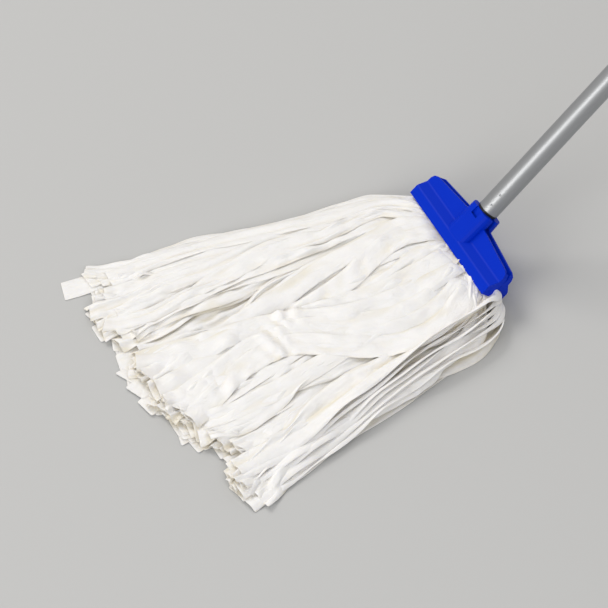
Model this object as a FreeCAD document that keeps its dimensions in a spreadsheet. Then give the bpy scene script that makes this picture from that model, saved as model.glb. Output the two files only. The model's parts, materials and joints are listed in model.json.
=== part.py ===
import FreeCAD, Part
import math
import os
import Sketcher

V = FreeCAD.Vector

# A strip mop: a bundle of flat cloth strips whose sewn header is gripped by a two-jaw plastic clamp on an
# aluminium handle. The frame has +Z up, X along the clamp's mouth, the strips running towards -Y and the
# handle rising towards +Y. The origin is on the floor, straight below the middle of the clamp's mouth.
# Clamp and handle are drawn upright, with the mouth at the drawing's origin and the handle up +Z, and are
# then leaned over together, so the front jaw is on the drawing's -Y side.

doc = FreeCAD.newDocument("StripMop")
sheet = doc.addObject("Spreadsheet::Sheet", "Sizes")

# Driving dimensions in millimetres and degrees.
sizes = {
    # where the clamp stands and how far the handle is raised from the floor
    "mouthHeight": 22.0,
    "handleRise": 44.0,
    # the pair of jaws
    "jawLength": 152.0,
    "jawHalfDepth": 16.5,
    "lipHeight": 11.0,
    "lipInset": 0.2,
    "neckHalfDepth": 7.8,
    "neckHeight": 19.5,
    "crestHalfDepth": 6.0,
    "crestHeight": 38.0,
    "wingEndHeight": 31.0,
    "wingCornerRadius": 6.0,
    "wingCornerStep": 1.8,
    "wingEndRise": 0.6,
    "jawWall": 2.5,
    "jawGap": 0.25,
    "openingPlay": 0.4,
    "cutOver": 5.0,
    "shoulderRadius": 4.0,
    # the middle boss of each jaw, with its half of the handle socket
    "bossHalfWidth": 16.0,
    "bossFoot": 9.0,
    "bossTop": 50.0,
    "bossTopHalfDepth": 13.0,
    "bossCorner": 8.0,
    "bossGap": 2.5,
    "bossFootInset": 0.3,
    "recessHalfWidth": 4.75,
    "recessLength": 18.0,
    "recessDepth": 1.4,
    # the hinge between the jaws
    "hingeHeight": 21.5,
    "knuckleRadius": 3.4,
    "hingeBore": 1.55,
    "pinRadius": 1.5,
    "pinLength": 142.0,
    "knuckleMiddle": 14.0,
    "knuckleEnd": 44.0,
    "knuckleOuter": 70.0,
    "knucklePlay": 0.4,
    "webInset": 2.0,
    "openingAngle": 8.0,
    # the tapered screw plug in the end of the handle
    "screwLength": 23.0,
    "screwTopRadius": 9.5,
    "screwTaper": 0.17,
    "screwPitch": 4.0,
    "threadDepth": 0.7,
    "socketClearance": 0.3,
    "socketDepth": 1.5,
    "plugRadius": 10.45,
    "plugLength": 36.0,
    "plugChamfer": 1.5,
    "flangeHeight": 1.2,
    "washerHeight": 1.2,
    "washerRadius": 11.0,
    "washerBore": 9.85,
    "washerGap": 0.3,
    # handle tube and hand grip
    "tubeRadius": 11.5,
    "tubeWall": 1.0,
    "tubeLength": 1350.0,
    "stakeRadius": 1.7,
    "stakeDepth": 0.6,
    "stakeFirst": 9.0,
    "stakeStep": 13.5,
    "stakeAngle": 29.0,
    "gripRadius": 13.5,
    "gripLength": 110.0,
    "gripOverlap": 100.0,
    "gripCrown": 4.0,
    "gripFit": 0.05,
    "tongueHalfWidth": 9.0,
    "tongueHalfDepth": 4.0,
    "tongueLength": 30.0,
    "hangHole": 4.0,
    # sewn header and the roots of the strips in the mouth
    "headerLength": 136.0,
    "headerHalfDepth": 5.5,
    "headerFoot": 4.0,
    "headerTop": 16.5,
    "headerChamfer": 1.5,
    "rootRadius": 12.5,
    "rootLength": 140.0,
    # the bundles of strips, spread like a fan on the floor in two layers
    "fanNearLeft": -112.0,
    "fanNearRight": 124.0,
    "fanFarLeft": -158.0,
    "fanFarRight": 190.0,
    "bundleGap": 0.3,
    "lowerStart": 6.0,
    "lowerNear": 13.8,
    "lowerToe": 4.5,
    "lowerToeDepth": 4.0,
    "lowerBreak": 14.0,
    "lowerHeight": 20.5,
    "lowerEndHeight": 5.0,
    "upperStart": 22.0,
    "upperHeight": 35.0,
    "upperShoulder": 8.0,
    "upperShoulderDrop": 3.0,
    "upperEndHeight": 10.0,
    "fanFlat": 40.0,
    "upperFlat": 60.0,
    "fanCut": 10.0,
    "fanReach": 376.0,
}
bundleReach = {
    "lower": (376.0, 364.0, 358.0, 367.0, 360.0, 349.0, 338.0),
    "upper": (352.0, 355.0, 349.0, 356.0, 344.0, 332.0, 322.0),
}
for layer, reaches in bundleReach.items():
    for k, reach in enumerate(reaches):
        sizes[layer + "Reach" + chr(65 + k)] = reach

for row, (name, value) in enumerate(sizes.items(), start=1):
    sheet.set("A%d" % row, name)
    sheet.set("B%d" % row, str(value))
    sheet.setAlias("B%d" % row, name)
doc.recompute()

lean = FreeCAD.Placement(
    V(0, 0, sizes["mouthHeight"]), FreeCAD.Rotation(V(1, 0, 0), sizes["handleRise"] - 90.0)
)


def newBody(label, leaning=True):
    body = doc.addObject("PartDesign::Body", label)
    body.Label = label
    if leaning:
        body.Placement = lean
        body.setExpression("Placement.Base.z", "Sizes.mouthHeight")
        body.setExpression("Placement.Rotation.Angle", "Sizes.handleRise - 90")
    return body


def newSketch(body, plane, offset=None):
    sketch = body.newObject("Sketcher::SketchObject", "Sketch")
    origin = [f for f in body.Origin.OriginFeatures if f.Role == plane][0]
    sketch.AttachmentSupport = [(origin, "")]
    sketch.MapMode = "FlatFace"
    if offset is not None:
        sketch.AttachmentOffset = offset
    return sketch


def number(owner, expression):
    return float(owner.evalExpression(expression))


def pin(sketch, geometry, point, x, y):
    """Fixes one point of the sketch at two lengths that are bound to the sheet."""
    for kind, length in (("DistanceX", x), ("DistanceY", y)):
        index = sketch.addConstraint(
            Sketcher.Constraint(kind, -1, 1, geometry, point, number(sketch, length))
        )
        sketch.setExpression("Constraints[%d]" % index, length)


def outline(sketch, points):
    """Draws a closed outline of straight lines through points given as pairs of lengths."""
    first = sketch.GeometryCount
    ends = [V(number(sketch, x), number(sketch, y), 0) for x, y in points]
    for k, end in enumerate(ends):
        sketch.addGeometry(Part.LineSegment(end, ends[(k + 1) % len(ends)]))
    for k, (x, y) in enumerate(points):
        following = first + (k + 1) % len(points)
        sketch.addConstraint(Sketcher.Constraint("Coincident", first + k, 2, following, 1))
        pin(sketch, first + k, 1, x, y)


def circle(sketch, x, y, radius):
    centre = V(number(sketch, x), number(sketch, y), 0)
    index = sketch.addGeometry(Part.Circle(centre, V(0, 0, 1), number(sketch, radius)))
    pin(sketch, index, 3, x, y)
    bound = sketch.addConstraint(Sketcher.Constraint("Radius", index, number(sketch, radius)))
    sketch.setExpression("Constraints[%d]" % bound, radius)


def extrude(body, kind, sketch, length, symmetric=False, backwards=False):
    feature = body.newObject("PartDesign::" + kind, kind)
    feature.Profile = sketch
    feature.Length = number(body, length)
    feature.setExpression("Length", length)
    if symmetric:
        feature.SideType = "Symmetric"
    feature.Reversed = backwards
    doc.recompute()
    return feature


def spin(body, kind, sketch):
    """Turns a sketch on the XZ plane through a full circle about the body's upright axis."""
    feature = body.newObject("PartDesign::" + kind, kind)
    feature.Profile = sketch
    feature.ReferenceAxis = (sketch, ["V_Axis"])
    feature.Angle = 360
    doc.recompute()
    return feature


def turned(body, kind, points):
    sketch = newSketch(body, "XZ_Plane")
    outline(sketch, points)
    return spin(body, kind, sketch)


def roundEdges(body, wanted, radius):
    """Rounds the edges of the body's last feature for which wanted(start, end) is true."""
    base = body.Tip
    names = []
    for k, edge in enumerate(base.Shape.Edges, start=1):
        ends = [v.Point for v in edge.Vertexes]
        if len(ends) == 2 and wanted(*sorted(ends, key=tuple)):
            names.append("Edge%d" % k)
    feature = body.newObject("PartDesign::Fillet", "Fillet")
    feature.Base = (base, names)
    feature.Radius = number(body, radius)
    feature.setExpression("Radius", radius)
    doc.recompute()
    return feature


def jaw(label, side, knuckles):
    """One jaw: side is -1 for the front and 1 for the rear, knuckles its stretches of hinge along X."""
    body = newBody(label)
    y = "Sizes." if side > 0 else "-Sizes."

    # the solid outline of the shell, from the straight lip over the shoulder to the crest
    sketch = newSketch(body, "YZ_Plane")
    openness = "tan(Sizes.openingAngle) * (Sizes.crestHeight - Sizes.hingeHeight) + Sizes.openingPlay"
    outline(
        sketch,
        [
            (y + "jawGap", "0"),
            (y + "jawHalfDepth", "0"),
            (y + "jawHalfDepth - (%d) * Sizes.lipInset" % side, "Sizes.lipHeight"),
            (y + "neckHalfDepth", "Sizes.neckHeight"),
            (y + "crestHalfDepth", "Sizes.crestHeight"),
            ("%d * (Sizes.jawGap + %s)" % (side, openness), "Sizes.crestHeight"),
            (y + "jawGap", "Sizes.hingeHeight"),
        ],
    )
    extrude(body, "Pad", sketch, "Sizes.jawLength", symmetric=True)

    def onShoulder(a, b):
        level = abs(a.z - b.z) < 0.01 and abs(a.y - b.y) < 0.01
        return level and any(abs(a.z - sizes[h]) < 0.1 for h in ("lipHeight", "neckHeight"))

    roundEdges(body, onShoulder, "Sizes.shoulderRadius")

    # the crest slopes down from the boss to the rounded corner at each end
    for end in (-1, 1):
        sketch = newSketch(body, "XZ_Plane")
        sign = "" if end > 0 else "-"
        tip = "%d * (Sizes.jawLength / 2" % end
        low = "Sizes.wingEndHeight - Sizes.wingCornerRadius"
        outline(
            sketch,
            [
                (sign + "Sizes.bossHalfWidth", "Sizes.crestHeight"),
                (tip + " - Sizes.wingCornerRadius)", "Sizes.wingEndHeight + Sizes.wingEndRise"),
                (tip + " - Sizes.wingCornerStep)", "Sizes.wingEndHeight - Sizes.wingCornerStep"),
                (tip + ")", low),
                (tip + " + Sizes.cutOver)", low),
                (tip + " + Sizes.cutOver)", "Sizes.crestHeight + Sizes.cutOver"),
                (sign + "Sizes.bossHalfWidth", "Sizes.crestHeight + Sizes.cutOver"),
            ],
        )
        extrude(body, "Pocket", sketch, "4 * Sizes.jawHalfDepth", symmetric=True)

    # the boss rises from the lip band and narrows towards its top
    def bossOutline(height, depth):
        level = FreeCAD.Placement(V(0, 0, number(body, height)), FreeCAD.Rotation())
        plan = newSketch(body, "XY_Plane", level)
        plan.setExpression("AttachmentOffset.Base.z", height)
        wide, corner, back = "Sizes.bossHalfWidth", "Sizes.bossCorner", y + "bossGap"
        points = []
        for end in (-1, 1):
            steps = [math.radians(a) for a in (0, 22.5, 45, 67.5, 90)]
            for a in steps if end < 0 else steps[::-1]:
                points.append(
                    (
                        "%d * (%s - %s * %.4f)" % (end, wide, corner, 1 - math.cos(a)),
                        "%d * (%s - %s * %.4f)" % (side, depth, corner, 1 - math.sin(a)),
                    )
                )
        outline(plan, [("-" + wide, back)] + points + [(wide, back)])
        return plan

    foot = bossOutline("Sizes.bossFoot", "(Sizes.jawHalfDepth - Sizes.bossFootInset)")
    top = bossOutline("Sizes.bossTop", "Sizes.bossTopHalfDepth")
    boss = body.newObject("PartDesign::AdditiveLoft", "Boss")
    boss.Profile = foot
    boss.Sections = [top]
    doc.recompute()

    # the hollow that takes the header, with end walls left standing
    sketch = newSketch(body, "YZ_Plane")
    inward = " + (%d) * -" % side
    outline(
        sketch,
        [
            ("%d" % -side, "-Sizes.cutOver"),
            (y + "jawHalfDepth" + inward + "Sizes.jawWall", "-Sizes.cutOver"),
            (y + "jawHalfDepth" + inward + "(Sizes.jawWall + 0.2)", "Sizes.lipHeight - 0.8"),
            (y + "neckHalfDepth" + inward + "(Sizes.jawWall + 0.2)", "Sizes.neckHeight - 0.9"),
            (y + "crestHalfDepth" + inward + "Sizes.jawWall", "Sizes.crestHeight + 0.5"),
            ("%d" % -side, "Sizes.crestHeight + 0.5"),
        ],
    )
    extrude(body, "Pocket", sketch, "Sizes.jawLength - 2 * Sizes.jawWall", symmetric=True)

    # knuckles round the hinge line, each with a web back to its own jaw
    low, high = "Sizes.hingeHeight - Sizes.knuckleRadius", "Sizes.hingeHeight + Sizes.knuckleRadius"
    wall = y + "neckHalfDepth" + inward + "Sizes.webInset"
    for start, end in knuckles:
        length = "(%s) - (%s)" % (end, start)
        for web in (False, True):
            place = FreeCAD.Placement(V(0, 0, number(body, start)), FreeCAD.Rotation())
            sketch = newSketch(body, "YZ_Plane", place)
            sketch.setExpression("AttachmentOffset.Base.z", start)
            if web:
                outline(sketch, [("0", low), (wall, low), (wall, high), ("0", high)])
            else:
                circle(sketch, "0", "Sizes.hingeHeight", "Sizes.knuckleRadius")
            extrude(body, "Pad", sketch, length)
    sketch = newSketch(body, "YZ_Plane")
    circle(sketch, "0", "Sizes.hingeHeight", "Sizes.hingeBore")
    extrude(body, "Pocket", sketch, "Sizes.pinLength + 1", symmetric=True)

    # the half socket for the tapered screw of the handle
    bore = "Sizes.screwTopRadius + Sizes.socketClearance"
    foot = "(Sizes.bossTop - Sizes.screwLength - Sizes.socketDepth)"
    above = "Sizes.bossTop + Sizes.cutOver"
    turned(
        body,
        "Groove",
        [
            ("0", foot),
            (bore + " - Sizes.screwTaper * (Sizes.screwLength + Sizes.socketDepth)", foot),
            (bore, "Sizes.bossTop"),
            (bore, above),
            ("0", above),
        ],
    )

    # the finger recess down from the top of the boss
    narrowing = sizes["jawHalfDepth"] - sizes["bossFootInset"] - sizes["bossTopHalfDepth"]
    slope = math.atan(narrowing / (sizes["bossTop"] - sizes["bossFoot"]))
    face = FreeCAD.Placement(V(0, sizes["bossTop"], -side * sizes["bossTopHalfDepth"]), FreeCAD.Rotation())
    tilt = FreeCAD.Placement(V(0, 0, 0), FreeCAD.Rotation(V(1, 0, 0), math.degrees(-side * slope)))
    sketch = newSketch(body, "XZ_Plane", face.multiply(tilt))
    half, long = "Sizes.recessHalfWidth", "Sizes.recessLength"
    outline(
        sketch,
        [
            ("-" + half, "Sizes.cutOver"),
            ("-" + half, "%s - %s" % (half, long)),
            ("-0.707 * " + half, "0.293 * %s - %s" % (half, long)),
            ("0", "-" + long),
            ("0.707 * " + half, "0.293 * %s - %s" % (half, long)),
            (half, "%s - %s" % (half, long)),
            (half, "Sizes.cutOver"),
        ],
    )
    extrude(body, "Pocket", sketch, "2 * Sizes.recessDepth", symmetric=True)
    return body


# the front jaw has the second and fourth knuckle, the rear jaw the other three
near, far = "Sizes.knuckleMiddle + Sizes.knucklePlay", "Sizes.knuckleEnd - Sizes.knucklePlay"
jaw("front_jaw", -1, (("-(%s)" % far, "-(%s)" % near), (near, far)))
jaw(
    "rear_jaw",
    1,
    (
        ("-Sizes.knuckleOuter", "-Sizes.knuckleEnd"),
        ("-Sizes.knuckleMiddle", "Sizes.knuckleMiddle"),
        ("Sizes.knuckleEnd", "Sizes.knuckleOuter"),
    ),
)

hingePin = newBody("hinge_pin")
sketch = newSketch(hingePin, "YZ_Plane")
circle(sketch, "0", "Sizes.hingeHeight", "Sizes.pinRadius")
extrude(hingePin, "Pad", sketch, "Sizes.pinLength", symmetric=True)

# the sewn header in the hollow, and the strips' roots in the mouth
header = newBody("header_band")
sketch = newSketch(header, "YZ_Plane")
outline(
    sketch,
    [
        ("-Sizes.headerHalfDepth", "Sizes.headerFoot"),
        ("Sizes.headerHalfDepth", "Sizes.headerFoot"),
        ("Sizes.headerHalfDepth", "Sizes.headerTop - Sizes.headerChamfer"),
        ("Sizes.headerHalfDepth - Sizes.headerChamfer", "Sizes.headerTop"),
        ("Sizes.headerChamfer - Sizes.headerHalfDepth", "Sizes.headerTop"),
        ("-Sizes.headerHalfDepth", "Sizes.headerTop - Sizes.headerChamfer"),
    ],
)
extrude(header, "Pad", sketch, "Sizes.headerLength", symmetric=True)

roots = newBody("strip_roots")
sketch = newSketch(roots, "YZ_Plane")
circle(sketch, "0", "0", "Sizes.rootRadius")
extrude(roots, "Pad", sketch, "Sizes.rootLength", symmetric=True)
sketch = newSketch(roots, "YZ_Plane")
outline(
    sketch,
    [
        ("-2 * Sizes.rootRadius", "Sizes.headerFoot"),
        ("2 * Sizes.rootRadius", "Sizes.headerFoot"),
        ("2 * Sizes.rootRadius", "2 * Sizes.rootRadius"),
        ("-2 * Sizes.rootRadius", "2 * Sizes.rootRadius"),
    ],
)
extrude(roots, "Pocket", sketch, "Sizes.rootLength + Sizes.cutOver", symmetric=True)

# the handle: a washer, the screw plug, the tube and the hand grip, each standing on the one before
washerFoot = "(Sizes.bossTop + Sizes.washerGap)"
flangeFoot = "(Sizes.bossTop + 2 * Sizes.washerGap + Sizes.washerHeight)"
tubeFoot = "(Sizes.bossTop + 2 * Sizes.washerGap + Sizes.washerHeight + Sizes.flangeHeight)"
tubeTop = "(%s + Sizes.tubeLength)" % tubeFoot[1:-1]

washer = newBody("thrust_washer")
turned(
    washer,
    "Revolution",
    [
        ("Sizes.washerBore", washerFoot),
        ("Sizes.washerRadius", washerFoot),
        ("Sizes.washerRadius", washerFoot + " + Sizes.washerHeight"),
        ("Sizes.washerBore", washerFoot + " + Sizes.washerHeight"),
    ],
)

plug = newBody("screw_plug")
screwFoot = "(Sizes.bossTop - Sizes.screwLength)"
core = "Sizes.screwTopRadius - Sizes.screwTaper * Sizes.screwLength - Sizes.threadDepth"
ridges = [("0", screwFoot), (core, screwFoot)]
turns = int(sizes["screwLength"] / sizes["screwPitch"])
for k in range(turns):
    for share, depth in ((0.30, 1), (0.45, 0), (0.70, 0), (0.85, 1)):
        height = "(%s + Sizes.screwPitch * %.2f)" % (screwFoot, k + share)
        cone = "Sizes.screwTopRadius - Sizes.screwTaper * (Sizes.bossTop - %s)" % height
        ridges.append((cone + " - %d * Sizes.threadDepth" % depth, height))
turned(
    plug,
    "Revolution",
    ridges
    + [
        ("Sizes.screwTopRadius", "Sizes.bossTop"),
        ("Sizes.screwTopRadius", flangeFoot),
        ("Sizes.tubeRadius", flangeFoot),
        ("Sizes.tubeRadius", tubeFoot),
        ("Sizes.plugRadius", tubeFoot),
        ("Sizes.plugRadius", tubeFoot + " + Sizes.plugLength - Sizes.plugChamfer"),
        ("Sizes.plugRadius - Sizes.plugChamfer", tubeFoot + " + Sizes.plugLength"),
        ("0", tubeFoot + " + Sizes.plugLength"),
    ],
)

tube = newBody("handle_tube")
turned(
    tube,
    "Revolution",
    [
        ("Sizes.tubeRadius - Sizes.tubeWall", tubeFoot),
        ("Sizes.tubeRadius", tubeFoot),
        ("Sizes.tubeRadius", tubeTop),
        ("Sizes.tubeRadius - Sizes.tubeWall", tubeTop),
    ],
)
# two small round stake marks hold the plug
for k in range(2):
    ball = tube.newObject("PartDesign::SubtractiveSphere", "Stake")
    ball.Radius = sizes["stakeRadius"]
    ball.setExpression("Radius", "Sizes.stakeRadius")
    out = sizes["tubeRadius"] + sizes["stakeRadius"] - sizes["stakeDepth"]
    angle = math.radians(sizes["stakeAngle"])
    up = number(tube, tubeFoot) + sizes["stakeFirst"] + k * sizes["stakeStep"]
    centre = V(out * math.sin(angle), -out * math.cos(angle), up)
    ball.Placement = FreeCAD.Placement(centre, FreeCAD.Rotation())
    doc.recompute()

grip = newBody("hand_grip")
gripFoot = "(%s - Sizes.gripOverlap)" % tubeTop[1:-1]
gripTop = "(%s + Sizes.gripLength)" % gripFoot[1:-1]
turned(
    grip,
    "Revolution",
    [
        ("Sizes.tubeRadius + Sizes.gripFit", gripFoot),
        ("Sizes.gripRadius", gripFoot),
        ("Sizes.gripRadius", gripTop),
        ("0.72 * Sizes.gripRadius", gripTop + " + Sizes.gripCrown"),
        ("0", gripTop + " + Sizes.gripCrown"),
        ("0", tubeTop + " + Sizes.gripFit"),
        ("Sizes.tubeRadius + Sizes.gripFit", tubeTop + " + Sizes.gripFit"),
    ],
)
# the flat tongue with the hole that hangs the mop up
sketch = newSketch(grip, "XZ_Plane")
wide, crown = "Sizes.tongueHalfWidth", gripTop + " + Sizes.tongueLength"
points = [("-" + wide, gripTop + " + 1"), (wide, gripTop + " + 1")]
for degrees in range(0, 181, 30):
    across, down = math.cos(math.radians(degrees)), 1 - math.sin(math.radians(degrees))
    points.append(("%.4f * %s" % (across, wide), "%s - %.4f * %s" % (crown, down, wide)))
outline(sketch, points)
extrude(grip, "Pad", sketch, "2 * Sizes.tongueHalfDepth", symmetric=True)
sketch = newSketch(grip, "XZ_Plane")
circle(sketch, "0", crown + " - Sizes.tongueHalfWidth - 1", "Sizes.hangHole")
extrude(grip, "Pocket", sketch, "4 * Sizes.tongueHalfDepth", symmetric=True)

# the bundles of strips lie in two layers of seven
columns = len(bundleReach["lower"])
lowerSlope = "(Sizes.lowerHeight - Sizes.lowerEndHeight) / (Sizes.fanReach - Sizes.fanFlat)"
layers = {
    "lower": [
        ("Sizes.lowerStart", "0"),
        ("Sizes.lowerStart", "Sizes.lowerToe"),
        ("-Sizes.lowerToeDepth", "Sizes.lowerToe"),
        ("-Sizes.lowerNear", "Sizes.lowerBreak"),
        ("-Sizes.lowerNear", "Sizes.lowerHeight"),
        ("-Sizes.fanFlat", "Sizes.lowerHeight"),
        ("-Sizes.fanReach - Sizes.fanCut", "Sizes.lowerEndHeight - Sizes.fanCut * " + lowerSlope),
        ("-Sizes.fanReach - Sizes.fanCut", "0"),
    ],
    "upper": [
        ("-Sizes.upperStart", "Sizes.lowerHeight + Sizes.bundleGap"),
        ("-Sizes.upperStart", "Sizes.upperHeight - Sizes.upperShoulderDrop"),
        ("-Sizes.upperStart - Sizes.upperShoulder", "Sizes.upperHeight"),
        ("-Sizes.upperFlat", "Sizes.upperHeight"),
        ("-Sizes.fanReach - Sizes.fanCut", "Sizes.upperEndHeight"),
        (
            "-Sizes.fanReach - Sizes.fanCut",
            "Sizes.lowerEndHeight + Sizes.bundleGap - Sizes.fanCut * " + lowerSlope,
        ),
        ("-Sizes.fanFlat", "Sizes.lowerHeight + Sizes.bundleGap"),
    ],
}


def fanEdge(k, inset, y):
    """The X of the fan's k-th dividing line at the depth y, moved in by inset."""
    ends = []
    for row in ("Near", "Far"):
        left, right = "Sizes.fan%sLeft" % row, "Sizes.fan%sRight" % row
        ends.append("(%s + (%s - %s) * %d / %d)" % (left, right, left, k, columns))
    near, far = ends
    return "%s + (%s - %s) * (-(%s)) / Sizes.fanReach %s" % (near, far, near, y, inset)


for layer, side in layers.items():
    start = "Sizes.lowerStart" if layer == "lower" else "-Sizes.upperStart"
    for k in range(columns):
        letter = chr(65 + k)
        bundle = newBody("strips_%s_%s" % (layer, letter.lower()), leaning=False)
        sketch = newSketch(bundle, "YZ_Plane")
        outline(sketch, side)
        extrude(bundle, "Pad", sketch, "2 * (Sizes.fanFarRight - Sizes.fanFarLeft)", symmetric=True)
        end = "-Sizes.%sReach%s" % (layer, letter)
        left, right = "+ Sizes.bundleGap / 2", "- Sizes.bundleGap / 2"
        sketch = newSketch(bundle, "XY_Plane")
        wide = "3 * Sizes.fanReach"
        outline(sketch, [("-" + wide, "-" + wide), (wide, "-" + wide), (wide, wide), ("-" + wide, wide)])
        outline(
            sketch,
            [
                (fanEdge(k, left, start), start),
                (fanEdge(k, left, end), end),
                (fanEdge(k + 1, right, end), end),
                (fanEdge(k + 1, right, start), start),
            ],
        )
        extrude(bundle, "Pocket", sketch, "8 * Sizes.upperHeight", symmetric=True)

doc.recompute()
bodies = [o for o in doc.Objects if o.TypeId == "PartDesign::Body"]
for thing in doc.Objects:
    bad = [state for state in thing.State if state in ("Invalid", "Error")]
    if bad:
        raise RuntimeError("%s is %s" % (thing.Label, bad))
os.makedirs("parts", exist_ok=True)
for body in bodies:
    shape = body.Shape
    if shape.isNull() or not shape.isValid() or not shape.Solids:
        raise RuntimeError(body.Label + " has no valid solid")
    box = shape.BoundBox
    print("%-16s volume %9.0f" % (body.Label, shape.Volume), end="  ")
    print("x %.1f..%.1f  y %.1f..%.1f" % (box.XMin, box.XMax, box.YMin, box.YMax), end="  ")
    print("z %.1f..%.1f" % (box.ZMin, box.ZMax))
    shape.exportStep("parts/%s.step" % body.Label)
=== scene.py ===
import json
import math

import bmesh
import bpy
import numpy as np
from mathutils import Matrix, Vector


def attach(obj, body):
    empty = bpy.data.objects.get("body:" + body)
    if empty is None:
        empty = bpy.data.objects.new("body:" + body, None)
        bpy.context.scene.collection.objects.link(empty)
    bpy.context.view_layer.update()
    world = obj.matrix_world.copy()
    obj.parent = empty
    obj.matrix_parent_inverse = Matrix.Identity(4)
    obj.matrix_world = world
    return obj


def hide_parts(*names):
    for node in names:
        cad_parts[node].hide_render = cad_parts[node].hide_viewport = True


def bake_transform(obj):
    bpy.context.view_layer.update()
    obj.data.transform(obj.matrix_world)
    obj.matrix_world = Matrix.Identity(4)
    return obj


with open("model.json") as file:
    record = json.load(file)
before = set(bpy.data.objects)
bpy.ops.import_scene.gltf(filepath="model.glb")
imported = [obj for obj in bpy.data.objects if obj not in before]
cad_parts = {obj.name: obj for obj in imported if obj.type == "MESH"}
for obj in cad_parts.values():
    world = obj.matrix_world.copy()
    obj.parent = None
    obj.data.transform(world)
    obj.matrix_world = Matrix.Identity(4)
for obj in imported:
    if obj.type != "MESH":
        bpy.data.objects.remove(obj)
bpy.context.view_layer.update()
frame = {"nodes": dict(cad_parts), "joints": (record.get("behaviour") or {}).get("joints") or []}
nodes = frame["nodes"]
mm = 0.001
print("frame loaded", len(nodes), "nodes")

# directions that the clamp, the handle and the strips share
lean = next(j for j in frame["joints"] if j["name"] == "clamp_lean")
travel = next(j for j in frame["joints"] if j["name"] == "handle_travel")
mouth = np.array(lean["pos_m"])
handleUp = np.array(travel["axis"])
jawFront = np.cross([1.0, 0.0, 0.0], handleUp)


def linear(hexText):
    # an sRGB colour such as "#8090a0" as linear values
    parts = [int(hexText[k : k + 2], 16) / 255 for k in (1, 3, 5)]
    return [c / 12.92 if c <= 0.04045 else ((c + 0.055) / 1.055) ** 2.4 for c in parts] + [1.0]


def addNode(tree, kind, settings, links):
    # settings are sockets or properties, and links go from another node's output to a socket
    node = tree.nodes.new("ShaderNode" + kind)
    for key, value in settings.items():
        if key in node.inputs:
            node.inputs[key].default_value = value
        else:
            setattr(node, key, value)
    for socket, (source, output) in links.items():
        tree.links.new(source.outputs[output], node.inputs[socket])
    return node


def newMaterial(name, settings):
    material = bpy.data.materials.new(name)
    material.use_nodes = True
    tree = material.node_tree
    surface = tree.nodes["Principled BSDF"]
    for key, value in settings.items():
        surface.inputs[key].default_value = value
    return material, tree, surface


def clampPlastic():
    # injection-moulded polypropylene: dull and even, with a faint orange-peel skin 3 mm across
    material, tree, surface = newMaterial(
        "clampPlastic",
        {"Base Color": linear("#002ec0"), "Roughness": 0.4, "Specular IOR Level": 0.09, "IOR": 1.49},
    )
    place = addNode(tree, "TexCoord", {}, {})
    skin = addNode(tree, "TexNoise", {"Scale": 350.0, "Detail": 3.0}, {"Vector": (place, "Object")})
    bump = addNode(tree, "Bump", {"Strength": 0.12, "Distance": 0.2 * mm}, {"Height": (skin, "Fac")})
    tree.links.new(bump.outputs["Normal"], surface.inputs["Normal"])
    return material


def tubeMetal():
    # satin anodised aluminium, drawn along its length, with streaks about 1 mm wide that spread its gloss
    material, tree, surface = newMaterial(
        "tubeMetal",
        {"Base Color": linear("#aeb0b3"), "Metallic": 1.0, "Roughness": 0.3},
    )
    place = addNode(tree, "TexCoord", {}, {})
    turn = addNode(
        tree,
        "Mapping",
        {"Rotation": (math.atan2(handleUp[2], handleUp[1]), 0.0, 0.0), "vector_type": "TEXTURE"},
        {"Vector": (place, "Object")},
    )
    stretch = addNode(tree, "Mapping", {"Scale": (900.0, 12.0, 900.0)}, {"Vector": (turn, "Vector")})
    streaks = addNode(tree, "TexNoise", {"Scale": 1.0, "Detail": 2.0}, {"Vector": (stretch, "Vector")})
    rough = addNode(
        tree,
        "MapRange",
        {"To Min": 0.42, "To Max": 0.5},
        {"Value": (streaks, "Fac")},
    )
    tree.links.new(rough.outputs["Result"], surface.inputs["Roughness"])
    return material


def blackPlastic():
    # moulded black nylon with a fine matt grain of half a millimetre
    material, tree, surface = newMaterial(
        "blackPlastic",
        {"Base Color": linear("#141416"), "Roughness": 0.5},
    )
    place = addNode(tree, "TexCoord", {}, {})
    grain = addNode(tree, "TexNoise", {"Scale": 2000.0}, {"Vector": (place, "Object")})
    bump = addNode(tree, "Bump", {"Strength": 0.1, "Distance": 0.1 * mm}, {"Height": (grain, "Fac")})
    tree.links.new(bump.outputs["Normal"], surface.inputs["Normal"])
    return material


def pinSteel():
    # cold-drawn steel wire with lengthwise scratches a quarter of a millimetre apart
    material, tree, surface = newMaterial(
        "pinSteel",
        {"Base Color": linear("#b8b8ba"), "Metallic": 1.0, "Roughness": 0.35},
    )
    place = addNode(tree, "TexCoord", {}, {})
    stretch = addNode(tree, "Mapping", {"Scale": (40.0, 4000.0, 4000.0)}, {"Vector": (place, "Object")})
    scratches = addNode(tree, "TexNoise", {"Scale": 1.0}, {"Vector": (stretch, "Vector")})
    bump = addNode(tree, "Bump", {"Strength": 0.1, "Distance": 0.05 * mm}, {"Height": (scratches, "Fac")})
    tree.links.new(bump.outputs["Normal"], surface.inputs["Normal"])
    return material


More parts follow.
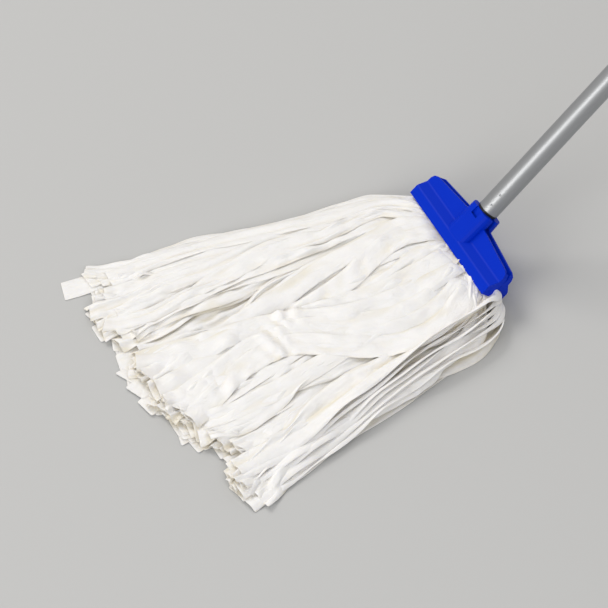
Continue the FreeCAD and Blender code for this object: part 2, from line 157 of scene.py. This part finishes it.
# the third argument, folded, is the painted shade colour for the gaps between strips and the bottoms of folds
def stripCloth(name, colour, folded):
    # viscose nonwoven, matt and a little see-through: pressed dots 1.1 mm apart, fibres 2 mm long, lengthwise
    # wrinkles 5 mm apart and crumples 10 by 25 mm; the flat UV is in metres
    material, tree, surface = newMaterial(
        name,
        {
            "Roughness": 0.95,
            "Specular IOR Level": 0.1,
            "Subsurface Weight": 0.25,
            "Subsurface Radius": (1.0, 0.85, 0.6),
            "Subsurface Scale": 2.0 * mm,
        },
    )
    # painted shade: cloth that lies low between others, or at the bottom of a fold, gets the warmer, darker
    # second colour
    painted_shade = addNode(tree, "Attribute", {"attribute_name": "painted_shade"}, {})
    shade_tones = {"data_type": "RGBA", "A": linear(colour), "B": linear(folded)}
    shade_tone = addNode(tree, "Mix", shade_tones, {"Factor": (painted_shade, "Fac")})
    tree.links.new(shade_tone.outputs["Result"], surface.inputs["Base Color"])
    place = addNode(tree, "UVMap", {"uv_map": "flat"}, {})
    stretch = addNode(tree, "Mapping", {"Scale": (190.0, 14.0, 1.0)}, {"Vector": (place, "UV")})
    wrinkles = addNode(
        tree, "TexNoise", {"Scale": 1.0, "Detail": 2.0, "Distortion": 0.6}, {"Vector": (stretch, "Vector")}
    )
    squash = addNode(tree, "Mapping", {"Scale": (95.0, 40.0, 1.0)}, {"Vector": (place, "UV")})
    crumples = addNode(
        tree, "TexNoise", {"Scale": 1.0, "Detail": 3.0, "Distortion": 1.2}, {"Vector": (squash, "Vector")}
    )
    both = addNode(
        tree, "Mix", {"data_type": "FLOAT", "Factor": 0.68}, {"A": (wrinkles, "Fac"), "B": (crumples, "Fac")}
    )
    soft = addNode(tree, "Bump", {"Strength": 0.75, "Distance": 3.0 * mm}, {"Height": (both, "Result")})
    dots = addNode(tree, "TexVoronoi", {"Scale": 900.0, "Randomness": 0.15}, {"Vector": (place, "UV")})
    fibres = addNode(tree, "TexNoise", {"Scale": 500.0, "Detail": 4.0}, {"Vector": (place, "UV")})
    relief = addNode(
        tree, "Mix", {"data_type": "FLOAT", "Factor": 0.55}, {"A": (dots, "Distance"), "B": (fibres, "Fac")}
    )
    bump = addNode(
        tree,
        "Bump",
        {"Strength": 0.25, "Distance": 0.25 * mm},
        {"Height": (relief, "Result"), "Normal": (soft, "Normal")},
    )
    tree.links.new(bump.outputs["Normal"], surface.inputs["Normal"])
    return material


def headerCloth():
    # the same viscose cloth in several layers, matt, with the dimples of stitches 1 mm across
    material, tree, surface = newMaterial("headerCloth", {"Base Color": linear("#e4e2dc"), "Roughness": 0.9})
    place = addNode(tree, "TexCoord", {}, {})
    grain = addNode(tree, "TexVoronoi", {"Scale": 950.0, "Randomness": 0.3}, {"Vector": (place, "Object")})
    bump = addNode(tree, "Bump", {"Strength": 0.3, "Distance": 0.25 * mm}, {"Height": (grain, "Distance")})
    tree.links.new(bump.outputs["Normal"], surface.inputs["Normal"])
    return material


materials = {
    "jaws": clampPlastic(),
    "tube": tubeMetal(),
    "black_plastic": blackPlastic(),
    "pin": pinSteel(),
    # the strips' own colour, then the painted shade colour for their gaps and fold bottoms
    "strip_cloth": stripCloth("stripCloth", "#fbf9f7", "#efe8d9"),
    "header_cloth": headerCloth(),
}
print("materials made")

# the hard pieces come straight from the frame: each one's material and the rounding of its edges in mm
hardPieces = {
    "front_jaw": ("jaws", 0.7),
    "rear_jaw": ("jaws", 0.7),
    "hand_grip": ("jaws", 0.8),
    "handle_tube": ("tube", 0.15),
    "screw_plug": ("black_plastic", 0.2),
    "thrust_washer": ("black_plastic", 0.2),
    "hinge_pin": ("pin", 0.2),
}


def dress(name, slot, edge):
    # a carried-over piece gets its material, softly rounded edges and smooth round faces
    piece = nodes[name]
    piece.data.materials.clear()
    piece.data.materials.append(materials[slot])
    piece.data.shade_smooth()
    bevel = piece.modifiers.new("edges", "BEVEL")
    bevel.width = edge * mm
    bevel.segments = 3
    bevel.limit_method = "ANGLE"
    bevel.angle_limit = math.radians(38)
    bevel.harden_normals = True


for name, (slot, edge) in hardPieces.items():
    dress(name, slot, edge)
print("hard pieces dressed")

# The pile of strips is settled one strip after another on a height field of what lies below. No hollow is
# left deeper than "hollow" below the general level, loose edges sink by "droop", and the roots are held for
# the length "hold".
pile = {
    "cell": 2.0 * mm,
    "low": (-0.24, -0.44),
    "high": (0.26, 0.10),
    "width": 25.0 * mm,
    "thickness": 0.35 * mm,
    "mouthHalf": 63.0 * mm,
    "mouthDepth": 11.5 * mm,
    "gather": 1.9 * mm,
    "gatherReach": 45.0 * mm,
    "hollow": 0.4 * mm,
    "droop": 3.0 * mm,
    "hold": 8.0 * mm,
    "inside": 7.0 * mm,
    "steepest": 0.92,
    "tailReach": 14.0 * mm,
    "bunchReach": 16.0 * mm,
    "bunchWave": 17.0 * mm,
    "sunk": 0.75,
    "folded": 0.35,
    "edgeShare": 0.3,
    "lift": 0.4 * mm,
    "levelInset": 8.0 * mm,
    "levelRise": 20.0 * mm,
    "levelRoot": 18.0 * mm,
    "sideRound": 26.0 * mm,
}
# The fan on the floor in mm: its two sides as X at a few Y, its height along the middle, and the line of
# its ends.
fan = {
    "sideY": [-373, -311, -209, -114, -46, -15, 20],
    "left": [-159, -151, -144, -125, -117, -100, -78],
    "right": [197, 185, 158, 136, 127, 118, 80],
    "heightY": [-380, -340, -280, -200, -120, -60, -25, -10, 20],
    "height": [7, 11, 17, 24, 31, 36, 38, 36, 30],
    "endX": [
        -160, -126, -114, -94, -70, -34, 19, 39, 65, 85, 100, 118, 129, 143, 159, 178, 196,
    ],
    "endY": [
        -352, -356, -369, -371, -361, -369, -369, -362, -358, -351, -349, -338, -324, -332, -341, -332, -331,
    ],
}
rng = np.random.default_rng(23)


def fanSide(name, y):
    return np.interp(y / mm, fan["sideY"], fan[name]) * mm


class HeightField:
    # the top of what lies on the floor so far, on a square grid

    def __init__(self):
        self.low = np.array(pile["low"])
        self.size = np.ceil((np.array(pile["high"]) - self.low) / pile["cell"]).astype(int)
        self.top = np.zeros(self.size)
        self.level = np.zeros(self.size)

    def places(self):
        x, y = [self.low[k] + (np.arange(self.size[k]) + 0.5) * pile["cell"] for k in (0, 1)]
        return np.meshgrid(x, y, indexing="ij")

    def sample(self, x, y, grid=None):
        grid = self.top if grid is None else grid
        gx = np.clip((x - self.low[0]) / pile["cell"] - 0.5, 0, self.size[0] - 1.001)
        gy = np.clip((y - self.low[1]) / pile["cell"] - 0.5, 0, self.size[1] - 1.001)
        i, j = gx.astype(int), gy.astype(int)
        u, w = gx - i, gy - j
        near = grid[i, j] * (1 - w) + grid[i, j + 1] * w
        far = grid[i + 1, j] * (1 - w) + grid[i + 1, j + 1] * w
        return near * (1 - u) + far * u

    def cover(self, x, y, z):
        i = np.clip(((x - self.low[0]) / pile["cell"]).astype(int), 0, self.size[0] - 1)
        j = np.clip(((y - self.low[1]) / pile["cell"]).astype(int), 0, self.size[1] - 1)
        np.maximum.at(self.top, (i.ravel(), j.ravel()), z.ravel())

    def even(self):
        # the pile's general level, which hollows between strips don't fall far below
        self.level = smoothed(smoothed(self.top, 5), 5, 1)


def smoothed(values, radius, axis=0):
    # a bell-shaped average along one axis, repeating the end values
    reach = max(1, int(2.5 * radius))
    weights = np.exp(-0.5 * (np.arange(-reach, reach + 1) / radius) ** 2)
    weights /= weights.sum()
    padding = [(0, 0)] * values.ndim
    padding[axis] = (reach, reach)
    padded = np.pad(values, padding, mode="edge")
    size = values.shape[axis]
    return sum(w * padded.take(range(k, k + size), axis=axis) for k, w in enumerate(weights))


def waves(s, shortest, longest, count=5):
    # a smooth random wave of about unit height along the lengths s
    total = np.zeros_like(s)
    for _ in range(count):
        turns = s / rng.uniform(shortest, longest) + rng.uniform()
        total += np.sin(2 * math.pi * turns) * rng.uniform(0.4, 1.0)
    return total / math.sqrt(count) / 0.55


def refined(grid, times):
    for axis in (0, 1):
        n = grid.shape[axis]
        at = np.linspace(0, n - 1, (n - 1) * times + 1)
        low = np.minimum(at.astype(int), n - 2)
        share = (at - low).reshape((-1, 1) if axis == 0 else (1, -1))
        grid = grid.take(low, axis=axis) * (1 - share) + grid.take(low + 1, axis=axis) * share
    return grid


def evenly(points, count):
    # the route again with its points evenly far apart, and its length
    steps = np.linalg.norm(np.diff(points, axis=0), axis=1)
    along = np.concatenate([[0], np.cumsum(steps)])
    at = np.linspace(0, along[-1], count)
    return np.stack([np.interp(at, along, points[:, k]) for k in (0, 1)], axis=1), along[-1]


def fanRoute(start, end, depth, finish, sway):
    # start and end are shares of the way across the mouth and across the fan
    root = mouth + jawFront * depth
    y = np.linspace(root[1], finish, 200)
    gone = (root[1] - y) / (root[1] - finish)
    share = start + (end - start) * (0.35 * gone + 0.65 * gone**2 * (3 - 2 * gone))
    inside = pile["width"] * 0.42
    left, right = fanSide("left", y) + inside, fanSide("right", y) - inside
    out = 1 - np.exp(-(((root[1] - y) / (14 * mm)) ** 1.4))
    x = (2 * start - 1) * pile["mouthHalf"] * (1 - out) + (left + share * (right - left)) * out
    x = x + waves(y, 0.10, 0.35) * sway * np.clip(gone / 0.3, 0, 1)
    x = x + rng.normal() * 7 * mm * np.clip((gone - 0.8) / 0.2, 0, 1) ** 2
    return np.stack([x, y], axis=1)


def foldShape(s, v, strip):
    # the lengthwise folds as heights over the rows s and the places v across
    total = np.zeros((len(s), len(v)))
    weight = 0
    for count in strip["folds"]:
        drift = (waves(s, 0.12, 0.4) * 1.3 + rng.uniform(0, 2 * math.pi))[:, None]
        total += np.cos(math.pi * count * v[None, :] + drift) / count
        weight += 1 / count
    return total / weight


def rumples(s, across):
    # small irregular bumps in the cloth, running every way
    total = np.zeros((len(s), len(across)))
    for _ in range(9):
        span = rng.uniform(13, 42) * mm
        angle = rng.normal() * 0.9 + math.pi / 2
        turn = (np.cos(angle) * s[:, None] + np.sin(angle) * across[None, :]) / span + rng.uniform()
        fade = 0.6 + 0.6 * waves(s, 0.05, 0.2, 3)[:, None]
        total += np.sin(2 * math.pi * turn) * fade * span / (30 * mm)
    return total / 3


def layStrip(field, strip):
    # settles one strip on the pile along its route
    rows, across = strip["rows"], strip["across"]
    centre, length = evenly(strip["route"], rows)
    s = np.linspace(0, length, rows)
    ahead = smoothed(np.gradient(centre, axis=0), 1.5)
    ahead /= np.linalg.norm(ahead, axis=1)[:, None]
    left = np.stack([-ahead[:, 1], ahead[:, 0]], axis=1)
    v = np.linspace(-1, 1, across)
    step = strip["width"] / (across - 1)
    height = strip["relief"] * np.clip(0.75 + 0.45 * waves(s, 0.07, 0.22), 0.15, 1.5)
    height = height + pile["gather"] * strip["gathered"] * np.exp(-s / pile["gatherReach"])
    height = height + strip["endFolds"] * np.exp(-(length - s) / (35 * mm))
    fold = height[:, None] * foldShape(s, v, strip)
    rise = np.clip(np.diff(fold, axis=1) / step, -pile["steepest"], pile["steepest"])
    aside = np.concatenate([np.zeros((rows, 1)), np.cumsum(np.sqrt(1 - rise**2) * step, axis=1)], axis=1)
    fold = np.concatenate([np.zeros((rows, 1)), np.cumsum(rise * step, axis=1)], axis=1)
    aside -= aside.mean(axis=1)[:, None]
    fold -= fold.mean(axis=1)[:, None]
    roll = (strip["roll"] * np.clip(s / (30 * mm), 0, 1))[:, None]
    flat = aside * np.cos(roll) - fold * np.sin(roll)
    up = aside * np.sin(roll) + fold * np.cos(roll)
    tail = np.exp(-(length - s) / pile["tailReach"])[:, None]
    up = up + tail * (strip["curl"] * (0.4 + v[None, :] * strip["twist"]))
    if strip["crumple"]:
        bunched = np.exp(-(((s - strip["crumpleAt"] * length) / pile["bunchReach"]) ** 2))[:, None]
        turn = 2 * math.pi * (s / pile["bunchWave"])[:, None] + 1.6 * v[None, :] + rng.uniform(0, 3)
        up = up + strip["crumple"] * bunched * np.sin(turn)
    loose = 1 + 1.6 * np.exp(-(length - s) / (40 * mm))[:, None]
    up = up + strip["rumple"] * loose * rumples(s, v * strip["width"] / 2)
    up = up - pile["sunk"] * up.min(axis=1)[:, None]
    skew = tail * v[None, :] * strip["skew"]
    x = centre[:, :1] + left[:, :1] * flat + ahead[:, :1] * skew
    y = centre[:, 1:] + left[:, 1:] * flat + ahead[:, 1:] * skew
    under = field.sample(x, y)
    inwards = np.minimum(x - fanSide("left", y), fanSide("right", y) - x)
    inner = np.clip((inwards - pile["levelInset"]) / pile["levelRise"], 0, 1)
    inner = inner * np.clip((s / pile["levelRoot"])[:, None], 0, 1)
    under = np.maximum(under, (field.sample(x, y, field.level) - pile["hollow"]) * inner)
    bed = smoothed(smoothed(under, strip["soft"] / (length / rows)), 2.5 * mm / step, 1)
    bed = bed + (under - bed).clip(0) * pile["folded"]
    # a stiff strip bridges the hollows across it, and a loose one lets its edges sink
    level = smoothed(0.5 * (bed.mean(axis=1) + bed.max(axis=1)), 3.0)[:, None]
    bed = bed + (level - bed).clip(0) * strip["stiff"]
    edge = np.clip((1 - np.abs(v)) / pile["edgeShare"], 0, 1)[None, :]
    edge = edge * edge * (3 - 2 * edge)
    near = np.clip(1 - s / 0.36, 0, 1)[:, None]
    loft = (0.7 + 1.5 * near) * mm
    crest = np.where(strip["loose"], (0.5 * up.max(axis=1)[:, None] + 0.3 * mm) * (0.3 + 0.7 * edge), loft)
    if strip["loose"]:
        up = up - np.clip(bed + up - under, 0, pile["droop"]) * (1 - edge)
    field.cover(refined(x, 3), refined(y, 3), refined(bed + crest, 3))
    strip.update(x=x, y=y, bed=bed, up=up, s=s, length=length)


def settleStrip(field, strip, press):
    # the strip's points in space, with the whole pile pressed to its height, and the roots in the mouth
    x, y, s = strip["x"], strip["y"], strip["s"]
    up = strip["up"] * (0.45 if not strip["loose"] else 1.0)
    z = strip["bed"] * field.sample(x, y, press) + up + pile["lift"]
    root = (mouth + jawFront * strip["depth"])[2]
    drop = root - 0.9 * s * np.exp(-s / (12 * mm))
    hold = np.exp(-((s / pile["hold"]) ** 2))[:, None]
    z = z * (1 - hold) + (drop[:, None] + 0.5 * (up - up.mean(axis=1)[:, None])) * hold
    # painted shade mask: stronger where the cloth lies below the pile's top and where it sits low in its own
    # folds
    below = field.sample(x, y) * field.sample(x, y, press) - z
    valley = up.mean(axis=1)[:, None] - up
    strip["painted_shade"] = np.clip(below / (8 * mm) + valley / (5 * mm), 0, 1)
    return np.stack([x, y, np.maximum(z, 0.3 * mm)], axis=2)


def clothMesh(name, rows, width, length):
    # a strip's mesh from its rows of points, with a flat UV in metres
    n, m = rows.shape[:2]
    faces = [
        (i * m + j, i * m + j + 1, (i + 1) * m + j + 1, (i + 1) * m + j)
        for i in range(n - 1)
        for j in range(m - 1)
    ]
    mesh = bpy.data.meshes.new(name)
    mesh.from_pydata(rows.reshape(-1, 3).tolist(), [], faces)
    uv = mesh.uv_layers.new(name="flat")
    loops = np.empty(len(mesh.loops), dtype=np.int32)
    mesh.loops.foreach_get("vertex_index", loops)
    shift = rng.uniform(0, 3, 2)
    across, along = (loops % m) / (m - 1) * width, (loops // m) / (n - 1) * length
    flat = np.stack([across + shift[0], along + shift[1]], axis=1)
    uv.data.foreach_set("uv", flat.astype(np.float32).ravel())
    mesh.shade_smooth()
    piece = bpy.data.objects.new(name, mesh)
    bpy.context.collection.objects.link(piece)
    mesh.materials.append(materials["strip_cloth"])
    return piece


def finishStrip(strip, rows):
    # the roots go on into the clamp, and the length grows by that
    inside = np.stack([rows[0] + handleUp * rise for rise in (pile["inside"], pile["inside"] / 2)])
    strip["length"] += pile["inside"]
    piece = clothMesh(strip["name"], np.concatenate([inside, rows]), strip["width"], strip["length"])
    # the roots inside the clamp get the full painted shade
    painted_shade = np.concatenate([np.ones((2, strip["across"])), strip["painted_shade"]])
    shade_tone = piece.data.attributes.new("painted_shade", "FLOAT", "POINT")
    shade_tone.data.foreach_set("value", painted_shade.astype(np.float32).ravel())
    thick = piece.modifiers.new("thickness", "SOLIDIFY")
    thick.thickness = pile["thickness"]
    thick.offset = 0
    rounding = piece.modifiers.new("rounding", "SUBSURF")
    rounding.levels = rounding.render_levels = 1
    return piece


def declareStrip(piece, graph):
    # thickness and rounding become part of the mesh, and the strip's transform is baked into it
    cage = piece.data
    piece.data = bpy.data.meshes.new_from_object(
        piece.evaluated_get(graph), preserve_all_data_layers=True, depsgraph=graph
    )
    piece.modifiers.clear()
    bpy.data.meshes.remove(cage)
    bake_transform(piece)


def makeStrip(name, route, depth, place, share, **changes):
    # one strip with the settings of a buried one, changed as named
    strip = {
        "name": name,
        "route": route,
        "depth": depth,
        "place": place,
        "share": share,
        "width": pile["width"] * rng.uniform(0.94, 1.05),
        "relief": 0.8 * mm,
        "folds": [rng.uniform(1.0, 1.8), rng.uniform(2.0, 2.9)],
        "roll": 0.0,
        "gathered": 1.0,
        "curl": 0.0,
        "twist": 0.0,
        "skew": rng.normal() * 2.6 * mm,
        "soft": 8.0 * mm,
        "stiff": 0.4,
        "crumple": 0.0,
        "crumpleAt": 0.6,
        "rumple": 0.0,
        "endFolds": 0.0,
        "loose": False,
        "rows": 42,
        "across": 9,
    }
    strip.update(changes)
    return strip


def endOf(share, back):
    # the Y at which a strip ends that lies at this share of the fan, back from the line of ends
    x = fanSide("left", -0.35) + share * (fanSide("right", -0.35) - fanSide("left", -0.35))
    return (np.interp(x / mm, fan["endX"], fan["endY"]) + back) * mm


def pickStrip(layer, layers, k, count, shift, shown):
    # one strip of an ordinary layer: the left half of the fan is pleated, the right half lies flat
    start = float(np.clip((k + 0.5 + shift + rng.uniform(-0.25, 0.25)) / count, 0.0, 1.0))
    drift = 0.12 * math.exp(-(((start - 0.45) / 0.22) ** 2)) if shown else 0.0
    end = float(np.clip(start + drift + rng.normal() * (0.075 if shown else 0.05), 0.0, 1.0))
    share = layer / (layers - 1)
    back = 22 * rng.uniform() ** 1.6 if not shown else rng.uniform(0, 12) + 34 * rng.uniform() ** 2
    depth = (2 * share - 1) * pile["mouthDepth"]
    route = fanRoute(start, end, depth, endOf(end, back), rng.uniform(1.5, 5.0) * mm)
    name = "strip_%02d_%d" % (layer, k)
    if not shown:
        return makeStrip(name, route, depth, start, share)
    pleated = rng.uniform() < float(np.interp(start, [0.3, 0.7], [0.9, 0.35]))
    pleats, waviness = ((1.2, 2.2), (2.8, 4.0)), ((0.6, 1.2), (1.6, 2.6))
    return makeStrip(
        name,
        route,
        depth,
        start,
        share,
        relief=(rng.uniform(1.7, 2.7) if pleated else rng.uniform(0.7, 1.4)) * mm,
        folds=[rng.uniform(low, high) for low, high in (pleats if pleated else waviness)],
        roll=waves(np.linspace(0, 0.37, 74), 0.2, 0.6) * rng.uniform(0.02, 0.14),
        curl=rng.normal() * 2.2 * mm,
        twist=rng.uniform(-1.0, 1.0),
        endFolds=rng.uniform(0.3, 1.6) * mm,
        soft=rng.uniform(5, 9) * mm,
        stiff=rng.uniform(0.1, 0.5),
        rumple=rng.uniform(0.6, 1.5) * mm,
        gathered=0.6,
        loose=True,
        rows=74,
        across=12,
    )


def through(points, bend=10):
    # a smooth route through points given in millimetres
    points = np.array(points, dtype=float) * mm
    steps = np.linalg.norm(np.diff(points, axis=0), axis=1)
    along = np.concatenate([[0], np.cumsum(steps)])
    at = np.linspace(0, along[-1], 240)
    line = np.stack([np.interp(at, along, points[:, k]) for k in (0, 1)], axis=1)
    soft = smoothed(line, bend)
    hold = np.clip(np.minimum(np.arange(240), np.arange(240)[::-1]) / 20, 0, 1)[:, None]
    return line * (1 - hold) + soft * hold


field = HeightField()
strips = []
layers = {"buried": 8, "all": 17, "buriedCount": 7, "shownCount": 10}
for layer in range(layers["all"]):
    shown = layer >= layers["buried"]
    count = layers["shownCount"] if shown else layers["buriedCount"]
    shift = rng.uniform(-0.5, 0.5)
    for k in rng.permutation(count):
        strips.append(pickStrip(layer, layers["all"], k, count, shift, shown))

# Some strips have routes of their own, in mm: one runs along the far side and reaches past the others, six
# stand on edge in a loop outside the clamp's end, and five sweep across the top and bunch up on their way.
# "after" is the layer that they are laid after, and "depth" their place across the mouth.
farStrip = {
    "after": 6,
    "points": [(-60, -4), (-93, -25), (-104, -60), (-112, -114), (-131, -209), (-139, -311), (-147, -375)],
    "depth": -4.0 * mm,
}
edgeStrips = {
    "count": 6,
    "after": 11,
    "points": [
        (65, -3), (88, 4), (106, -2), (114, -20), (119, -48),
        (126, -110), (142, -180), (160, -250), (180, -326),
    ],
    "step": 4.5,
    "rows": 84,
    "standing": 62,
}
sweepStrips = (
    {
        "depth": 9.0,
        "share": 0.55,
        "bunch": 0.52,
        "points": [(16, -8), (22, -40), (26, -90), (20, -150), (4, -215), (-24, -352)],
    },
    {
        "depth": 9.4,
        "share": 0.62,
        "bunch": 0.58,
        "points": [(27, -8), (38, -40), (43, -90), (33, -150), (6, -205), (-6, -250), (2, -352)],
    },
    {
        "depth": 9.8,
        "share": 0.70,
        "bunch": 0.60,
        "points": [(37, -8), (55, -40), (61, -90), (50, -142), (22, -192), (6, -236), (22, -350)],
    },
    {
        "depth": 10.2,
        "share": 0.80,
        "bunch": 0.64,
        "points": [
            (48, -8), (71, -44), (79, -92), (70, -140), (40, -184), (16, -222), (28, -280), (46, -346),
        ],
    },
    {
        "depth": 10.5,
        "share": 0.88,
        "bunch": 0.66,
        "points": [
            (58, -8), (85, -48), (94, -92), (84, -136), (58, -174), (30, -208), (36, -262), (70, -338),
        ],
    },
)


def farRoute():
    return makeStrip(
        "strip_far",
        through(farStrip["points"]),
        farStrip["depth"],
        0.02,
        0.3,
        width=24 * mm,
        relief=0.6 * mm,
        folds=[0.7, 1.3],
        curl=0.5 * mm,
        skew=1.5 * mm,
        loose=True,
        rows=84,
        across=11,
    )


def edgeRoute(k):
    inward = k * edgeStrips["step"]
    points = [
        (x - inward * min(1, n / 2.5), y - 0.4 * inward * (n == 2))
        for n, (x, y) in enumerate(edgeStrips["points"])
    ]
    points[-1] = (points[-1][0] - 3 * k, points[-1][1] - rng.uniform(-3, 8))
    at = np.linspace(0, 1, edgeStrips["rows"])
    standing = math.radians(edgeStrips["standing"] + 6 * (k % 3))
    standing = standing * np.interp(at, [0, 0.06, 0.3, 0.62, 1], [0.2, 1, 0.9, 0.45, 0.05])
    return makeStrip(
        "strip_edge_%d" % k,
        through(points, 7),
        (k / (edgeStrips["count"] - 1) - 0.5) * 16 * mm,
        0.98,
        0.6,
        relief=1.6 * mm,
        folds=[1.2, 2.1],
        roll=standing + waves(at, 0.2, 0.5) * 0.08,
        curl=rng.normal() * 1.5 * mm,
        stiff=0.05,
        loose=True,
        rows=edgeStrips["rows"],
        across=11,
    )


def sweepRoute(k, sweep):
    return makeStrip(
        "strip_sweep_%d" % k,
        through(sweep["points"], 15),
        sweep["depth"] * mm,
        sweep["share"],
        1.0,
        relief=rng.uniform(0.6, 1.3) * mm,
        folds=[rng.uniform(0.5, 1.0), rng.uniform(1.3, 2.2)],
        crumple=rng.uniform(2.0, 3.6) * mm,
        crumpleAt=sweep["bunch"],
        rumple=rng.uniform(0.8, 1.5) * mm,
        width=rng.uniform(25, 29) * mm,
        roll=waves(np.linspace(0, 0.4, 100), 0.1, 0.4) * 0.12,
        curl=1.5 * mm,
        twist=0.5,
        gathered=0.3,
        soft=9 * mm,
        stiff=0.2,
        loose=True,
        rows=100,
        across=13,
    )


# lowest layer first, and the sweeping strips last
queue = []
for layer in range(layers["all"]):
    queue += [strip for strip in strips if strip["name"].startswith("strip_%02d_" % layer)]
    if layer == farStrip["after"]:
        queue.append(farRoute())
    if layer >= edgeStrips["after"] and layer - edgeStrips["after"] < edgeStrips["count"]:
        queue.append(edgeRoute(layer - edgeStrips["after"]))
queue += [sweepRoute(k, sweep) for k, sweep in enumerate(sweepStrips)]
for strip in queue:
    if strip["name"].endswith("_0"):
        field.even()
    layStrip(field, strip)
print("strips laid", len(queue), "highest", round(float(field.top.max()) / mm, 1), "mm")


def pressed():
    # how much the pile is pressed down at each place, so that it has the fan's height and rounded sides
    x, y = field.places()
    free = smoothed(smoothed(field.top, 4), 4, 1)
    inwards = np.minimum(x - fanSide("left", y), fanSide("right", y) - x).clip(0)
    middle = np.interp(y / mm, fan["heightY"], fan["height"]) * mm
    wanted = 2 * mm + (middle - 2 * mm) * (1 - np.exp(-inwards / pile["sideRound"]))
    share = np.clip(wanted / np.maximum(free, 1.5 * mm), 0.3, 1.3)
    return smoothed(smoothed(share, 3), 3, 1)


press = pressed()
pieces = []
for strip in queue:
    rows = settleStrip(field, strip, press)
    pieces.append(finishStrip(strip, rows))
graph = bpy.context.evaluated_depsgraph_get()
for strip, piece in zip(queue, pieces):
    declareStrip(piece, graph)
print("strips made", len(pieces), "triangles", sum(len(piece.data.polygons) for piece in pieces) * 2)

# the frame's bundles of strips, lower and upper, and their roots are hidden, and the strips made above take
# their place
columns = "abcdefg"
for k, letter in enumerate(columns):
    for layer, low, high in (("lower", 0, 0.5), ("upper", 0.5, 1.01)):
        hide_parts("strips_%s_%s" % (layer, letter))
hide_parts("strip_roots")

# The header is a folded band of the same cloth, sewn through along two lines.
header = {
    "halfLength": 67.5 * mm,
    "halfDepth": 5.3 * mm,
    "foot": 4.2 * mm,
    "top": 16.3 * mm,
    "corner": 2.2 * mm,
    "stations": 136,
    "around": 32,
    "seams": (7.5 * mm, 13.0 * mm),
    "seamDepth": 0.7 * mm,
    "stitch": 4.0 * mm,
}


def makeHeader():
    middle, half = (header["top"] + header["foot"]) / 2, (header["top"] - header["foot"]) / 2
    turn = np.linspace(0, 2 * math.pi, header["around"], endpoint=False)
    side, rise = np.cos(turn), np.sin(turn)
    bulge = (np.abs(side) ** 4 + np.abs(rise) ** 4) ** 0.25
    depth, height = header["halfDepth"] * side / bulge, middle + half * rise / bulge
    x = np.linspace(-header["halfLength"], header["halfLength"], header["stations"])
    rings = []
    for place in x:
        pull = sum(np.exp(-(((height - seam) / (0.8 * mm)) ** 2)) for seam in header["seams"])
        puckers = 0.55 + 0.45 * math.cos(2 * math.pi * place / header["stitch"])
        ends = 1 - 0.25 * max(0.0, abs(place) / header["halfLength"] - 0.985) / 0.015
        drawn = depth * ends * (1 - header["seamDepth"] / header["halfDepth"] * pull * puckers)
        ring = mouth + np.outer(drawn, jawFront) + np.outer(middle + (height - middle) * ends, handleUp)
        ring[:, 0] += place
        rings.append(ring)
    points = np.concatenate(rings)
    m, n = header["around"], header["stations"]
    faces = [
        (i * m + j, i * m + (j + 1) % m, (i + 1) * m + (j + 1) % m, (i + 1) * m + j)
        for i in range(n - 1)
        for j in range(m)
    ]
    faces += [tuple(range(m))[::-1], tuple((n - 1) * m + j for j in range(m))]
    mesh = bpy.data.meshes.new("header_cloth")
    mesh.from_pydata(points.tolist(), [], faces)
    tidy = bmesh.new()
    tidy.from_mesh(mesh)
    bmesh.ops.recalc_face_normals(tidy, faces=tidy.faces)
    tidy.to_mesh(mesh)
    tidy.free()
    mesh.shade_smooth()
    mesh.materials.append(materials["header_cloth"])
    piece = bpy.data.objects.new("header_cloth", mesh)
    bpy.context.collection.objects.link(piece)
    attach(piece, "clamp")
    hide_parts("header_band")


makeHeader()
print("header sewn")

# the camera looks down on the head from the front right; azimuth 0 looks along +Y
view = {"azimuth": 62.5, "elevation": 51.0, "distance": 4.5, "across": 0.6185, "aim": (-0.0195, -0.1639, 0.0)}


def makeFloor():
    # plain pale floor paint, which is matt
    material, tree, surface = newMaterial("floorPaint", {"Base Color": linear("#c0c1c2"), "Roughness": 0.7})
    bpy.ops.mesh.primitive_plane_add(size=16)
    floor = bpy.context.object
    floor.name = "floor"
    floor.location.z = -0.3 * mm
    floor.data.materials.append(material)


def addLight(name, place, size, power, colour):
    data = bpy.data.lights.new(name, "AREA")
    data.shape = "DISK"
    data.size = size
    data.energy = power
    data.color = linear(colour)[:3]
    light = bpy.data.objects.new(name, data)
    light.location = place
    light.rotation_euler = (Vector(view["aim"]) - Vector(place)).to_track_quat("-Z", "Y").to_euler()
    bpy.context.collection.objects.link(light)


makeFloor()
addLight("key", (-3.6, -0.8, 4.2), 2.8, 102, "#fffbf4")
addLight("front", (1.5, -4.8, 2.1), 2.6, 98, "#fffefa")
addLight("fill", (3.7, -0.5, 3.7), 3.6, 34, "#fafcff")


def makeSky():
    # a plain studio dome, brighter overhead than at the horizon
    world = bpy.data.worlds.new("studio")
    world.use_nodes = True
    tree = world.node_tree
    place = addNode(tree, "TexCoord", {}, {})
    parts = addNode(tree, "SeparateXYZ", {}, {"Vector": (place, "Generated")})
    reach = {"From Min": -0.1, "To Min": 0.3, "To Max": 0.78}
    glow = addNode(tree, "MapRange", reach, {"Value": (parts, "Z")})
    background = tree.nodes["Background"]
    background.inputs["Color"].default_value = linear("#f6f4f1")
    tree.links.new(glow.outputs["Result"], background.inputs["Strength"])
    bpy.context.scene.world = world


makeSky()

azimuth, elevation = math.radians(view["azimuth"]), math.radians(view["elevation"])
back = Vector(
    (math.sin(azimuth) * math.cos(elevation), -math.cos(azimuth) * math.cos(elevation), math.sin(elevation))
)
cameraData = bpy.data.cameras.new("camera")
cameraData.sensor_width = 36
cameraData.lens = 36 * view["distance"] / view["across"]
cameraData.clip_end = 50
camera = bpy.data.objects.new("camera", cameraData)
camera.location = Vector(view["aim"]) + back * view["distance"]
camera.rotation_mode = "QUATERNION"
camera.rotation_quaternion = (-back).to_track_quat("-Z", "Y")
bpy.context.collection.objects.link(camera)
bpy.context.scene.camera = camera
bpy.context.scene.view_settings.view_transform = "Standard"
print("studio ready")
